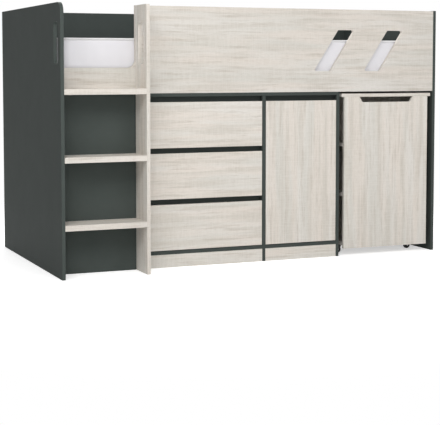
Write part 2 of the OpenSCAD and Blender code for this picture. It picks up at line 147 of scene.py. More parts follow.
class Finish:
    # The node tree of a material or of the world
    def __init__(self, owner):
        self.owner = owner
        owner.use_nodes = True
        self.tree = owner.node_tree
        self.shader = self.tree.nodes.get("Principled BSDF")

    # Any other node: its settings, then its sockets by name or number
    def add(self, kind, settings=None, sockets=None, output=0):
        node = self.tree.nodes.new("ShaderNode" + kind)
        for name, value in (settings or {}).items():
            setattr(node, name, value)
        for name, value in (sockets or {}).items():
            plug(self.tree, node.inputs[name], value)
        return Wire(self.tree, node.outputs[output])

    # Sockets 6 and 7 and output 2 are those for colours
    def mix(self, factor, first, second, kind="MIX"):
        settings = {"data_type": "RGBA", "blend_type": kind}
        return self.add("Mix", settings, {0: factor, 6: first, 7: second}, 2)

    def noise(self, place, scales, detail, rough):
        place = self.add("VectorMath", {"operation": "MULTIPLY"}, {0: place, 1: scales})
        sockets = {"Vector": place, "Scale": 1, "Detail": detail, "Roughness": rough}
        return self.add("TexNoise", {}, sockets)

    # Noises by name, each from its scales, detail and roughness
    def noises(self, place, table):
        return {name: self.noise(place, *recipe) for name, recipe in table.items()}

    def between(self, value, low, high):
        sockets = {"Value": value, 1: low, 2: high}
        return self.add("MapRange", {"interpolation_type": "SMOOTHSTEP"}, sockets)

    # A sum of terms: a name, its share and perhaps the limits it is first put between
    def total(self, values, terms, start=0):
        for name, share, *limits in terms:
            value = self.between(values[name], *limits) if limits else values[name]
            start = value * share + start
        return start

    # The first two parts of a place
    def plane(self, place):
        node = self.add("SeparateXYZ", {}, {0: place}).socket.node
        return Wire(self.tree, node.outputs[0]), Wire(self.tree, node.outputs[1])

    def bump(self, height, distance, strength):
        return self.add("Bump", {}, {"Height": height, "Distance": distance, "Strength": strength})

    def coat(self, sockets):
        for name, value in sockets.items():
            plug(self.tree, self.shader.inputs[name], value)
        return self.owner


stageSpec = {
    "floorSize": 40,
    "floorColour": (0.9, 0.9, 0.9),
    "floorGlow": 0.5,  # what camera rays see on top of the floor's own shade
    "fadeFrom": 1.3,
    "fadeTo": 2.6,
    "ambient": 0.32,
    "softboxes": {
        # centre, half width, half height, watts
        "left": ((-3.2, -4.0, 3.6), 1.5, 1.1, 116),
        "front": ((0.5, -4.3, 3.2), 1.8, 1.1, 62),
        "low": ((-1.6, -4.9, 1.1), 1.3, 0.7, 32),
        "rear": ((0.8, 3.1, 4.4), 1.9, 1.4, 220),
    },
    "aim": (0, 0, 0.55),
}


def seenRay(finish):
    # 1 for rays from the camera, also by way of gloss or glass
    paths = finish.add("LightPath").socket.node
    kinds = ("Is Camera Ray", "Is Glossy Ray", "Is Transmission Ray")
    camera, glossy, glass = (Wire(finish.tree, paths.outputs[kind]) for kind in kinds)
    return camera.most(glossy).most(glass)


def makeStage(spec):
    mesh = bmesh.new()
    bmesh.ops.create_grid(mesh, x_segments=1, y_segments=1, size=spec["floorSize"] / 2)
    floor = addObject("floor", toMesh(mesh, "floor"))
    finish = Finish(bpy.data.materials.new("floorPaint"))
    finish.tree.nodes.remove(finish.shader)
    seen = seenRay(finish)
    place = finish.add("TexCoord", output=3)
    reach = finish.add("VectorMath", {"operation": "LENGTH"}, {0: place}, 1)
    fade = finish.between(reach, spec["fadeFrom"], spec["fadeTo"])
    paint = finish.add("BsdfDiffuse", {}, {"Color": spec["floorColour"]})
    glow = finish.add("Emission", {}, {"Color": (1, 1, 1), "Strength": seen * spec["floorGlow"]})
    white = finish.add("Emission", {}, {"Color": (1, 1, 1), "Strength": 1.0})
    lit = finish.add("AddShader", {}, {0: paint, 1: glow})
    whole = finish.add("MixShader", {}, {0: seen * fade, 1: lit, 2: white})
    plug(finish.tree, finish.tree.nodes["Material Output"].inputs["Surface"], whole)
    floor.data.materials.append(finish.owner)

    world = bpy.data.worlds.new("studio")
    scene.world = world
    sky = Finish(world)
    seen = seenRay(sky)
    strength = seen * (1 - spec["ambient"]) + spec["ambient"]
    background = sky.tree.nodes["Background"]
    background.inputs["Color"].default_value = (1, 1, 1, 1)
    plug(sky.tree, background.inputs["Strength"], strength)

    for name, (centre, halfWidth, halfHeight, watts) in spec["softboxes"].items():
        data = bpy.data.lights.new(name, "AREA")
        data.shape = "RECTANGLE"
        data.size = 2 * halfWidth
        data.size_y = 2 * halfHeight
        data.energy = watts
        lamp = addObject(name, data)
        lamp.location = centre
        lamp.rotation_euler = (Vector(spec["aim"]) - Vector(centre)).to_track_quat("-Z", "Y").to_euler()
        lamp.visible_camera = False


makeStage(stageSpec)
print("stage ready")


# Finishes: a colour with layers of other colours over it, each laid on by a sum of terms.
# Bumps are their height in metres, their strength and the terms of their sum.

def begin(name, spec, layer=None):
    # noises lie in the shared frame or on a UV layer, both in metres
    finish = Finish(bpy.data.materials.new(name))
    place = finish.add("UVMap", {"uv_map": layer}) if layer else finish.add("TexCoord", output=3)
    return finish, place, finish.noises(place, spec["noises"])


def layered(finish, values, spec, tone=1.0):
    colour = spec["colour"]
    for over, *terms in spec["layers"]:
        colour = finish.mix(finish.total(values, terms), colour, over)
    start, *terms = spec["roughness"]
    height, strength, *heights = spec["bumps"]
    return finish.coat({
        "Base Color": finish.mix(1.0, colour, (tone, tone, tone), "MULTIPLY"),
        "Roughness": finish.total(values, terms, start),
        "Normal": finish.bump(finish.total(values, heights), height, strength),
        **spec.get("sockets", {}),
    })


woodSpec = {
    "noises": {
        "sway": ((2.3, 6.5, 1), 2, 0.5),
        "ripple": ((11, 38, 1), 1, 0.5),
        "saw": ((190, 13, 5), 3, 0.6),
    },
    "wander": (0.01, 0.00125),  # how far sway and ripple carry the grain sideways, in metres
    "grainNoises": {
        "broad": ((0.9, 19, 1), 3, 0.55),
        "other": ((1.2, 13, 7), 3, 0.55),
        "blotch": ((2.4, 38, 3), 3, 0.58),
        "streaks": ((4.2, 78, 1), 4, 0.66),
        "fine": ((34, 330, 1), 3, 0.6),
        "pores": ((52, 1500, 3), 2, 0.5),
    },
    "ringPitch": 330,  # radians per metre across the rings
    "ringSway": (0.07, 0.004),  # how far sway and ripple carry the rings, in metres
    "ringEdge": (0.2, 1),
    "ringPatches": (0.5, 0.7),
    "colour": (0.664, 0.641, 0.588),
    "layers": (
        ((0.738, 0.708, 0.660), ("broad", 1, 0.36, 0.62)),
        ((0.741, 0.675, 0.608), ("other", 0.75, 0.42, 0.60)),
        ((0.610, 0.570, 0.508), ("blotch", 0.72, 0.46, 0.64)),
        ((0.500, 0.446, 0.378), ("streaks", 0.62, 0.50, 0.70)),
        ((0.560, 0.500, 0.420), ("rings", 0.16)),
        ((0.500, 0.446, 0.378), ("fine", 0.4, 0.50, 0.75)),
        ((0.840, 0.805, 0.760), ("fine", 0.25, 0.47, 0.2)),
        ((0.400, 0.350, 0.290), ("pores", 0.42, 0.6, 0.72)),
        ((0.840, 0.805, 0.760), ("saw", 0.19, 0.40, 0.66)),
    ),
    "roughness": (0.5, ("fine", 0.16)),
    "bumps": (0.00022, 0.6, ("fine", 0.5), ("streaks", 0.35), ("pores", -0.5, 0.58, 0.72), ("saw", 0.08)),
    "sockets": {"Specular IOR Level": 0.35},
}


def whitewash(name, tone, ringShare=1.0):
    # u runs along the grain and v across it, both in metres
    spec = woodSpec
    finish, place, values = begin(name, spec, "grain")
    u, v = finish.plane(place)
    sway, ripple = values["sway"] - 0.5, values["ripple"] - 0.5
    carried = (spec["wander"], spec["ringSway"])
    aside, ringAside = (v + sway * bySway + ripple * byRipple for bySway, byRipple in carried)
    grain = finish.add("CombineXYZ", {}, {0: u, 1: aside})
    values.update(finish.noises(grain, spec["grainNoises"]))
    arcs = finish.between((ringAside * spec["ringPitch"]).wave(), *spec["ringEdge"])
    values["rings"] = arcs * finish.between(values["other"], *spec["ringPatches"]) * ringShare
    return layered(finish, values, spec, tone)


pineSpec = {
    "noises": {
        "sway": ((1.2, 6, 1), 2, 0.5),
        "fine": ((9, 600, 1), 3, 0.6),
        "tint": ((0.8, 9, 1), 2, 0.5),
    },
    "ringPitch": 700,
    "ringSway": 0.05,
    "colour": (0.72, 0.545, 0.345),
    "layers": (
        ((0.78, 0.635, 0.44), ("tint", 1, 0.3, 0.7)),
        ((0.60, 0.38, 0.19), ("lateWood", 0.3)),
        ((0.56, 0.38, 0.22), ("fine", 0.4, 0.55, 0.8)),
    ),
    "roughness": (0.55, ("fine", 0.15)),
    "bumps": (0.0002, 0.5, ("fine", 1), ("rings", 0.3)),
}


def pine(name, spec):
    finish, place, values = begin(name, spec, "grain")
    across = finish.plane(place)[1] + (values["sway"] - 0.5) * spec["ringSway"]
    rings = (across * spec["ringPitch"]).wave() * 0.5 + 0.5
    values.update(rings=rings, lateWood=rings * rings)
    return layered(finish, values, spec)


darkSpec = {
    "noises": {
        "cloud": ((7, 7, 7), 3, 0.6),
        "grit": ((900, 900, 900), 2, 0.6),
        "dots": ((2600, 2600, 2600), 1, 0.5),
        "scuff": ((16, 16, 60), 4, 0.7),
    },
    "colour": (0.0470, 0.0560, 0.0520),
    "layers": (
        ((0.0590, 0.0690, 0.0645), ("cloud", 0.5, 0.25, 0.75), ("grit", 0.3)),
        ((0.070, 0.079, 0.075), ("scuff", 0.25, 0.62, 0.8)),
    ),
    "roughness": (0.54, ("grit", 0.14), ("scuff", 0.08, 0.55, 0.8)),
    "bumps": (0.00012, 0.5, ("grit", 1), ("dots", 0.5)),
    "sockets": {"Specular IOR Level": 0.05},
}
# pale linen-printed foil on the drawer boxes
foilSpec = {
    "noises": {"warp": ((60, 900, 900), 2, 0.6), "weft": ((900, 60, 60), 2, 0.6)},
    "sums": {"linen": (("warp", 0.5), ("weft", 0.5))},
    "colour": (0.60, 0.60, 0.585),
    "layers": (((0.72, 0.72, 0.705), ("linen", 1, 0.38, 0.62)),),
    "roughness": (0.45, ("linen", 0.2)),
    "bumps": (0.0001, 0.4, ("linen", 1)),
}
hardboardSpec = {
    "noises": {"chips": ((420, 420, 420), 4, 0.7), "cloud": ((5, 5, 5), 3, 0.6)},
    "colour": (0.052, 0.059, 0.057),
    "layers": (
        ((0.083, 0.091, 0.088), ("chips", 1, 0.35, 0.7)),
        ((0.07, 0.078, 0.074), ("cloud", 0.4, 0.4, 0.7)),
    ),
    "roughness": (0.6, ("chips", 0.2)),
    "bumps": (0.0002, 0.5, ("chips", 1)),
}
zincSpec = {
    "noises": {"brushed": ((90, 900, 900), 3, 0.6)},
    "spangles": 260,  # per metre
    "colour": (0.60, 0.61, 0.62),
    "layers": (((0.74, 0.75, 0.75), ("spangle", 1, 0.1, 0.9)),),
    "roughness": (0.3, ("brushed", 0.16), ("spangle", 0.05)),
    "bumps": (0.00005, 0.5, ("brushed", 1)),
    "sockets": {"Metallic": 1.0},
}
plasticSpec = {
    "noises": {"skin": ((1500, 1500, 1500), 2, 0.6), "wear": ((60, 60, 60), 4, 0.65)},
    "wearing": (("wear", 0.6, 0.45, 0.75), ("skin", 0.2)),
    "rougher": ("wear", 0.12),
    "bumps": (0.00006, 0.5, ("skin", 1)),
    "sockets": {"Specular IOR Level": 0.4},
}


def solid(name, spec, tone=1.0):
    # a finish that is the same on all sides
    finish, place, values = begin(name, spec)
    for word, terms in spec.get("sums", {}).items():
        values[word] = finish.total(values, terms)
    if "spangles" in spec:
        sockets = {"Vector": place, "Scale": spec["spangles"]}
        values["spangle"] = finish.add("TexVoronoi", {"feature": "F1"}, sockets)
    return layered(finish, values, spec, tone)


def plastic(name, colour, light, roughness):
    layers = ((light, *plasticSpec["wearing"]),)
    roughness = (roughness, plasticSpec["rougher"])
    return solid(name, {**plasticSpec, "colour": colour, "layers": layers, "roughness": roughness})


clothSpec = {
    "noises": {"cloud": ((9, 9, 1), 3, 0.6), "fluff": ((900, 900, 1), 2, 0.6)},
    "thread": 0.0011,  # width of a knitted rib
    "loops": (0.8, 0.5, 0.8),  # waves per rib across and along, and how far they sway
    "stitch": 0.0042,  # length of one quilting stitch
    "stitchEdge": (-0.5, 0.1),
    "seamEdge": (0.8, 1),
    "colour": (0.735, 0.725, 0.755),
    "layers": (
        ((0.645, 0.634, 0.662), ("knit", 0.3, -1, 1), ("cloud", 0.25)),
        ((0.86, 0.858, 0.865), ("fluff", 0.25)),
    ),
    "roughness": (0.78, ("fluff", 0.12)),
    "bumps": (0.0003, 0.7, ("knit", 0.5), ("fluff", 0.4)),
    # what the quilting adds
    "quiltLayers": (
        # darker along the lines of stitching: painted shade of the creases the stitching draws in; the
        # dashes are the pale thread
        ((0.55, 0.55, 0.57), ("line", 0.3)),
        ((0.88, 0.88, 0.885), ("dashes", 0.7)),
    ),
    "quiltBumps": (("dashes", 2.2), ("line", -2)),
    "sockets": {"Specular IOR Level": 0.2, "Sheen Weight": 0.15, "Sheen Roughness": 0.5},
}


def ticking(name, spec, quilted):
    # knitted mattress cover; the quilted top also shows its stitches
    finish, place, values = begin(name, spec, "cloth")
    u, v = finish.plane(place)
    turn = 2 * math.pi / spec["thread"]
    pitch, swayPitch, sway = spec["loops"]
    loops = (v * turn * pitch + (u * turn * swayPitch).wave() * sway).wave()
    values["knit"] = (u * turn).wave() * 0.5 + loops * 0.5
    if quilted:
        seam = finish.add("Attribute", {"attribute_name": "stitch"}, output=2)
        dash = finish.between((u * (2 * math.pi / spec["stitch"])).wave(), *spec["stitchEdge"])
        # the band along each line of stitching; its colour darkens as painted shade of the crease
        line = finish.between(seam, *spec["seamEdge"])
        values.update(line=line, dashes=line * dash)
        layers, bumps = spec["layers"] + spec["quiltLayers"], spec["bumps"] + spec["quiltBumps"]
        spec = {**spec, "layers": layers, "bumps": bumps}
    return layered(finish, values, spec)


webSpec = {
    "noises": {"fuzz": ((1300, 1300, 1), 2, 0.6)},
    "weaving": (("weave", 0.7, -1, 1), ("fuzz", 0.3)),
    "roughness": (0.75, ("fuzz", 0.15)),
    "bumps": (0.0003, 0.7, ("weave", 1), ("fuzz", 1)),
    "sockets": {"Specular IOR Level": 0.2},
}


def webbing(name, colour, light, pitch=0.0016):
    finish, place, values = begin(name, webSpec, "cloth")
    u, v = finish.plane(place)
    turn = 2 * math.pi / pitch
    values["weave"] = ((u + v) * turn).wave() * 0.5 + ((u - v) * turn).wave() * 0.5
    layers = ((light, *webSpec["weaving"]),)
    return layered(finish, values, {**webSpec, "colour": colour, "layers": layers})


finishes = {
    "wood": whitewash("whitewashedWood", 0.93),
    "woodBand": whitewash("whitewashedBand", 0.92, 0.2),
    # darker copy of the whitewash for the front guard: painted shade
    "guardWood": whitewash("whitewashedGuardPaintedShade", 0.88),
    # lighter copy of the whitewash for the stile and treads: painted light in their shaded recess
    "ladderWood": whitewash("whitewashedLadderPaintedLight", 1.04),
    "pine": pine("slatWood", pineSpec),
    "dark": solid("anthraciteBoard", darkSpec, 0.98),
    # lighter copy for the banded edges of the dark boards: painted highlight along the edges, partly edge
    # wear
    "darkBand": solid("anthraciteBandWearAndPaintedHighlight", darkSpec, 1.1),
    # darker copy for the left end panel's faces: painted shade on its outer side
    "darkEnd": solid("paintedShadeAnthraciteEnd", darkSpec, 0.74),
    # much lighter copy for the left end panel's banded edges: painted highlight
    "darkEndBand": solid("paintedHighlightAnthraciteEndBand", darkSpec, 1.3),
    # lighter copy for the ladder's back panel: painted light in the shade of the left end panel
    "darkLadder": solid("paintedLightAnthraciteLadder", darkSpec, 1.2),
    "foil": solid("drawerFoil", foilSpec),
    "hardboard": solid("backHardboard", hardboardSpec),
    "zinc": solid("zincSteel", zincSpec),
    "castor": plastic("castorPlastic", (0.022, 0.022, 0.023), (0.045, 0.045, 0.046), 0.38),
    "tyre": plastic("wheelRubber", (0.016, 0.016, 0.017), (0.036, 0.036, 0.037), 0.6),
    "darkCap": plastic("darkCap", (0.058, 0.066, 0.063), (0.08, 0.088, 0.085), 0.45),
    "paleCap": plastic("paleCap", (0.62, 0.59, 0.54), (0.70, 0.67, 0.63), 0.45),
    "quilt": ticking("quiltedTicking", clothSpec, True),
    "border": ticking("borderTicking", clothSpec, False),
    "tape": webbing("pipingTape", (0.72, 0.717, 0.73), (0.83, 0.828, 0.835)),
    "strap": webbing("slatStrap", (0.55, 0.54, 0.50), (0.68, 0.67, 0.63)),
    "label": webbing("labelCloth", (0.008, 0.008, 0.009), (0.02, 0.02, 0.021), 0.0009),
}
print("finishes ready")


# Boards: each CAD board again with eased edges, its banded edges and its own run of grain

drawers = ("lower_drawer", "middle_drawer", "upper_drawer")
corners = ("front_left", "front_right", "rear_left", "rear_right")
axisIndex = {"X": 0, "Y": 1, "Z": 2}
edgeSpec = {
    "weld": 1e-6,
    "flat": 0.4,  # degrees, up to which neighbouring faces become one
    "ease": 0.0009,  # rounding of a board's edges
    "steps": 2,
    "sharp": 30,  # degrees, past which an edge is eased
    "face": 0.75,  # lean towards the thin axis of all faces but the edge bands
    "smooth": 50,  # degrees, up to which the shading is smooth
    "grainJump": (2.37, 1.31),  # from one board's run of grain to the next, in metres
}

boardGroups = {
    # finish, finish of the banded edges, material slot: {node: grain and thin axis}
    # the front guard takes the darker copy: painted shade
    ("guardWood", "woodBand", "whitewashed_board"): {"front_guard_panel": "XY"},
    # the ladder takes the lighter copy: painted light
    ("ladderWood", "woodBand", "whitewashed_board"): {
        "ladder_stile": "ZX",
        "lower_tread": "XZ",
        "middle_tread": "XZ",
        "upper_tread": "XZ",
    },
    ("wood", "woodBand", "whitewashed_board"): {
        "storage_plinths": "XY",
        "cupboard_door": "ZY",
        "desk_top": "YZ",
        "desk_front_panel": "ZY",
        "desk_upright": "ZY",
        "desk_shelves": "XZ",
        "desk_column_side": "ZX",
        "desk_leg": "ZY",
        "desk_foot": "XZ",
        "desk_rail": "YX",
        **{drawer + "_front": "XY" for drawer in drawers},
    },
    # the left end panel takes a darker copy for its faces, painted shade, and a much lighter one for its
    # edges, painted highlight
    ("darkEnd", "darkEndBand", "anthracite_board"): {"left_end_panel": "ZX"},
    # the ladder's back panel takes a lighter copy: painted light
    ("darkLadder", "darkBand", "anthracite_board"): {"ladder_back_panel": "XY"},
    # these boards and the ladder's back panel take the lighter band copy: painted highlight along the
    # edges, partly edge wear
    ("dark", "darkBand", "anthracite_board"): {
        "right_end_panel": "ZX",
        "rear_guard_panel": "XY",
        "rear_stretcher": "XY",
        "storage_left_side": "ZX",
        "storage_partition": "ZX",
        "storage_right_side": "ZX",
        "storage_top": "XZ",
        "storage_floors": "XZ",
        "finger_gap_rails": "XY",
        "cupboard_shelf": "XZ",
    },
    ("hardboard", "anthracite_board"): {"storage_back": "XY"},
    ("foil", "drawer_board"): {
        drawer + part: axes
        for drawer in drawers
        for part, axes in (("_sides", "YX"), ("_back", "XY"), ("_bottom", "XZ"))
    },
    ("pine", "slat_wood"): {"slat_battens": "XY", "bed_slats": "YZ"},
}


def copyOf(node):
    mesh = bmesh.new()
    mesh.from_mesh(cadNodes[node].data)
    bmesh.ops.remove_doubles(mesh, verts=mesh.verts, dist=edgeSpec["weld"])
    flat = math.radians(edgeSpec["flat"])
    bmesh.ops.dissolve_limit(mesh, angle_limit=flat, verts=mesh.verts, edges=mesh.edges)
    return mesh


def easeEdges(mesh, amount, steps, sharp):
    limit = math.radians(sharp)
    edges = [edge for edge in mesh.edges if edge.is_manifold and edge.calc_face_angle() > limit]
    shape = {"affect": "EDGES", "profile": 0.5, "material": -1, "clamp_overlap": True}
    bmesh.ops.bevel(mesh, geom=edges, offset=amount, offset_type="OFFSET", segments=steps, **shape)


def islands(mesh):
    # the vertices of each solid of a mesh, from left to right
    left = set(mesh.verts)
    found = []
    while left:
        edge = [min(left, key=lambda vert: tuple(vert.co))]
        group = set(edge)
        while edge:
            near = {vert for link in edge.pop().link_edges for vert in link.verts} - group
            group |= near
            edge += near
        left -= group
        found.append(group)
    return found


boardNumbers = itertools.count()


def layGrain(mesh, grain, thin, spec):
    # u runs along the grain on a board's faces, and along each banded edge
    layer = mesh.loops.layers.uv.new("grain")
    for group in islands(mesh):
        number = next(boardNumbers)
        shiftU, shiftV = (number * jump for jump in spec["grainJump"])
        for face in {face for vert in group for face in vert.link_faces}:
            lean = [abs(part) for part in face.normal]
            if lean[thin] > spec["face"]:
                along, across = grain, 3 - grain - thin
                face.material_index = 0
            else:
                sides = [axis for axis in range(3) if axis != thin]
                along = min(sides, key=lambda axis: lean[axis])
                across = thin
                face.material_index = 1
            for loop in face.loops:
                loop[layer].uv = (loop.vert.co[along] + shiftU, loop.vert.co[across] + shiftV)


def finishPiece(mesh, name, materials, body, replaced=(), smooth=40):
    # smooth is the angle, in degrees, past which an edge stays sharp
    data = toMesh(mesh, name)
    for material in materials:
        data.materials.append(finishes[material])
    piece = addObject(name, data)
    data.shade_smooth()
    if smooth:
        data.set_sharp_from_angle(angle=math.radians(smooth))
    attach(piece, body)
    if replaced:
        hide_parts(*replaced)
    return piece


def dressNode(node, kind, materials, spec, axes=None):
    # the node's own mesh with eased edges, and shading that keeps its big faces flat
    mesh = copyOf(node)
    easeEdges(mesh, spec["ease"], spec["steps"], spec["sharp"])
    if axes:
        layGrain(mesh, axisIndex[axes[0]], axisIndex[axes[1]], spec)
        if len(materials) == 1:
            for face in mesh.faces:
                face.material_index = 0
    body = cadNodes[node]["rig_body"]
    piece = finishPiece(mesh, node + kind, materials, body, [node], spec["smooth"])
    modifier = piece.modifiers.new("flatFaces", "WEIGHTED_NORMAL")
    modifier.weight = 100
    modifier.keep_sharp = True


for (*materials, slotName), members in boardGroups.items():
    for node, axes in members.items():
        dressNode(node, "_board", materials, edgeSpec, axes)
print("boards ready")


# Fittings: steel and plastic parts from the CAD model with eased edges

fittingSpec = {"steps": 2, "sharp": 35, "smooth": 40}
thinSteel = ("zinc", "zinc_steel", 0.0003)
fittings = {
    # node: finish, material slot, rounding of its edges
    "shelf_pins": thinSteel,
    "cabinet_runners": thinSteel,
    **{drawer + "_runners": thinSteel for drawer in drawers},
    "hinge_arms": ("zinc", "zinc_steel", 0.0006),
    "hinge_cups": ("zinc", "zinc_steel", 0.0004),
    "castor_plates": thinSteel,
    **{corner + "_castor_fork": ("castor", "castor_black", 0.0005) for corner in corners},
    **{corner + "_castor_wheel": ("tyre", "wheel_black", 0.0004) for corner in corners},
}


for node, (material, slotName, ease) in fittings.items():
    dressNode(node, "_fitting", [material], {**fittingSpec, "ease": ease})
print("fittings ready")


# Mattress: a quilted top sewn to plain borders with a piped tape at both edges

mattressSpec = {
    "hem": 0.03,  # plain margin between the outermost stitching and the edge
    "hemCells": 3,
    "waves": 13,  # lengths of quilting wave along the mattress
    "rows": 14,  # quilted rows across the mattress
    "rowCells": 6,
    "waveCells": 13,
    "swing": 0.021,  # of a line of stitching, to each side
    "corner": 0.06,
    "level": -0.0058,  # the quilted sheet's height against the top of the piping
    "dip": 0.0042,  # how far the stitching is drawn down
    "firstDip": 0.35,  # share of it before the cloth settles
    "lastDip": 0.65,  # share of it afterwards
    "puff": 0.0062,  # how far the wadding stands up
    "puffPower": 0.8,  # below 1 for a section fuller than a sine
    "puffWidth": 0.05,  # rows narrower than this stand up less
    "puffCells": 4,  # over which the wadding thickens from each end
    "puffCap": 1.25,  # limit of the settled wadding, against its puff
    "crown": 0.003,
    "crownPower": 4,
    # the cloth, with its spare length and the pressure under it
    "cloth": {
        "quality": 5, "mass": 0.12, "air_damping": 6, "vertex_group_mass": "stitches",
        "tension_stiffness": 12, "compression_stiffness": 12, "shear_stiffness": 4,
        "bending_stiffness": 0.25, "shrink_min": -0.035,
        "use_pressure": True, "uniform_pressure_force": 1.6,
    },
    "frames": 22,
    "wall": 0.0012,  # how far the borders stand inside the mattress's size
    "swell": 0.0024,
    "pucker": 0.0007,
    "pipingPucker": 0.3,  # share of it on the piping
    "puckerScales": (26, 26, 18),  # per metre, along, across and up
    # outward, then downward from the top: the groove beside the piping, then the piping
    "groove": ((-0.0115, 0.0052), (-0.0085, 0.0068)),
    "piping": ((-0.0068, 0.0062), (-0.0058, 0.0032), (-0.0034, 0.0010), (-0.0004, 0.0004), (0.0018, 0.0020),
               (0.0026, 0.0048), (0.0018, 0.0076), (-0.0008, 0.0092)),
    # the border's first steps below the piping
    "tuck": ((-0.0030, 0.0104), (-0.0026, 0.0135), (-0.0012, 0.0200)),
    "borderRows": 7,
    "underside": 0.0012,  # its height over the lowest piping
    "undersideInset": 0.02,
    "flat": 0.9,  # upward share of a level face's normal
    "tab": {
        "across": 0.47,  # its middle along the right end
        "width": 0.038, "height": 0.030, "thick": 0.0012, "cells": 8,
        "drop": 0.0105, "clear": 0.0006, "curl": 0.0016,
        "sway": 0.0006, "swayTurn": 6,  # radians over the tab's width
        "ease": 0.0003, "sharp": 60,
    },
}
# material numbers on the mattress
quiltKind, borderKind, tapeKind = range(3)


def seamLine(row, along, spec):
    # distance from the middle of the top to a line of stitching, at a place along the mattress
    half = spec["rows"] / 2
    width = (spec["size"].y - 2 * spec["hem"]) / spec["rows"]
    straight = (row - half) * width
    if row in (0, spec["rows"]):
        return straight
    turn = 2 * math.pi * spec["waves"] * along / (spec["size"].x - 2 * spec["hem"])
    side = 1 if row % 2 else -1
    return straight + side * spec["swing"] * math.cos(turn)


def quiltedSheet(spec):
    # a flat sheet whose rows of vertices follow the stitching, and the vertices that hold it
    hemCells, rowCells = spec["hemCells"], spec["rowCells"]
    across = spec["waves"] * spec["waveCells"]
    up = spec["rows"] * rowCells
    columns, lines = across + 2 * hemCells, up + 2 * hemCells
    mesh = bmesh.new()
    bmesh.ops.create_grid(mesh, x_segments=columns, y_segments=lines, size=0.5)
    stitch = mesh.verts.layers.float.new("stitch")
    field = spec["size"].x - 2 * spec["hem"]
    step = spec["hem"] / hemCells
    held = []
    for vert in mesh.verts:
        column = round((vert.co.x + 0.5) * columns) - hemCells
        line = round((vert.co.y + 0.5) * lines) - hemCells
        fieldColumn = min(max(column, 0), across)
        fieldLine = min(max(line, 0), up)
        x = -field / 2 + field * fieldColumn / across + step * (column - fieldColumn)
        row = fieldLine / rowCells
        low = min(int(row), spec["rows"] - 1)
        part = row - low
        below, above = seamLine(low, x, spec), seamLine(low + 1, x, spec)
        y = below * (1 - part) + above * part + step * (line - fieldLine)
        hem = column != fieldColumn or line != fieldLine
        sewn = not hem and (part in (0, 1) or column in (0, across) or line in (0, up))
        height = 0
        if sewn:
            height = -spec["dip"] * spec["firstDip"]
        elif not hem:
            height = spec["puff"] * math.sin(math.pi * part) ** spec["puffPower"]
            height *= min(1, (above - below) / spec["puffWidth"])
            end = min(column, across - column, spec["puffCells"])
            height *= math.sin(math.pi * end / (2 * spec["puffCells"]))
        vert.co = (x, y, height)
        vert[stitch] = 1.0 if sewn else 0.0
        if hem or sewn:
            held.append(vert.index)
    return mesh, held


def settleSheet(mesh, held, spec):
    # the sheet as sewn, its cloth blown up a little between the stitching
    sheet = addObject("sewnSheet", toMesh(mesh, "sewnSheet"))
    pins = sheet.vertex_groups.new(name="stitches")
    pins.add(held, 1.0, "REPLACE")
    cloth = sheet.modifiers.new("wadding", "CLOTH")
    for name, value in spec["cloth"].items():
        setattr(cloth.settings, name, value)
    cloth.settings.effector_weights.gravity = 0
    cloth.collision_settings.use_collision = False
    cloth.point_cache.frame_start = 1
    cloth.point_cache.frame_end = spec["frames"]
    for step in range(1, spec["frames"] + 1):
        scene.frame_set(step)
    finer = sheet.modifiers.new("finer", "SUBSURF")
    finer.levels = 1
    finer.render_levels = 1
    finer.boundary_smooth = "PRESERVE_CORNERS"
    bpy.context.view_layer.update()
    settled = bpy.data.meshes.new_from_object(sheet.evaluated_get(bpy.context.evaluated_depsgraph_get()))
    bpy.data.objects.remove(sheet)
    scene.frame_set(1)
    mesh = bmesh.new()
    mesh.from_mesh(settled)
    bpy.data.meshes.remove(settled)
    return mesh


def roundCorner(x, y, halfX, halfY, radius):
    # moves a point of a rectangle's corner square into the quarter circle
    overX = abs(x) - (halfX - radius)
    overY = abs(y) - (halfY - radius)
    if overX <= 0 or overY <= 0:
        return x, y
    reach = max(overX, overY) / math.hypot(overX, overY)
    newX = halfX - radius + overX * reach
    newY = halfY - radius + overY * reach
    return math.copysign(newX, x), math.copysign(newY, y)


def outward(x, y, halfX, halfY, radius):
    # the direction that faces out of the mattress's rounded outline
    overX = max(abs(x) - (halfX - radius), 0)
    overY = max(abs(y) - (halfY - radius), 0)
    return Vector((math.copysign(overX, x), math.copysign(overY, y), 0)).normalized()


def layCloth(mesh, place):
    # place turns a vertex's coordinates into those of the cloth, in metres
    layer = mesh.loops.layers.uv.new("cloth")
    for face in mesh.faces:
        for loop in face.loops:
            loop[layer].uv = place(loop.vert.co)


def shapeTop(mesh, outline, spec):
    # draws the settled sheet into its outline, tames its relief and raises its middle
    halfX, halfY = outline[:2]
    stitch = mesh.verts.layers.float["stitch"]
    layCloth(mesh, lambda co: co.xy)
    for face in mesh.faces:
        face.material_index = quiltKind
    for vert in mesh.verts:
        x, y, z = vert.co
        x, y = roundCorner(x * halfX * 2 / spec["size"].x, y * halfY * 2 / spec["size"].y, *outline)
        fall = (1 - (x / halfX) ** spec["crownPower"]) * (1 - (y / halfY) ** spec["crownPower"])
        most = spec["puff"] * spec["puffCap"] if z > 0 else spec["dip"]
        relief = most * math.tanh(z / most) - spec["dip"] * vert[stitch] * spec["lastDip"]
        vert.co = (x, y, spec["level"] + relief + spec["crown"] * max(fall, 0))


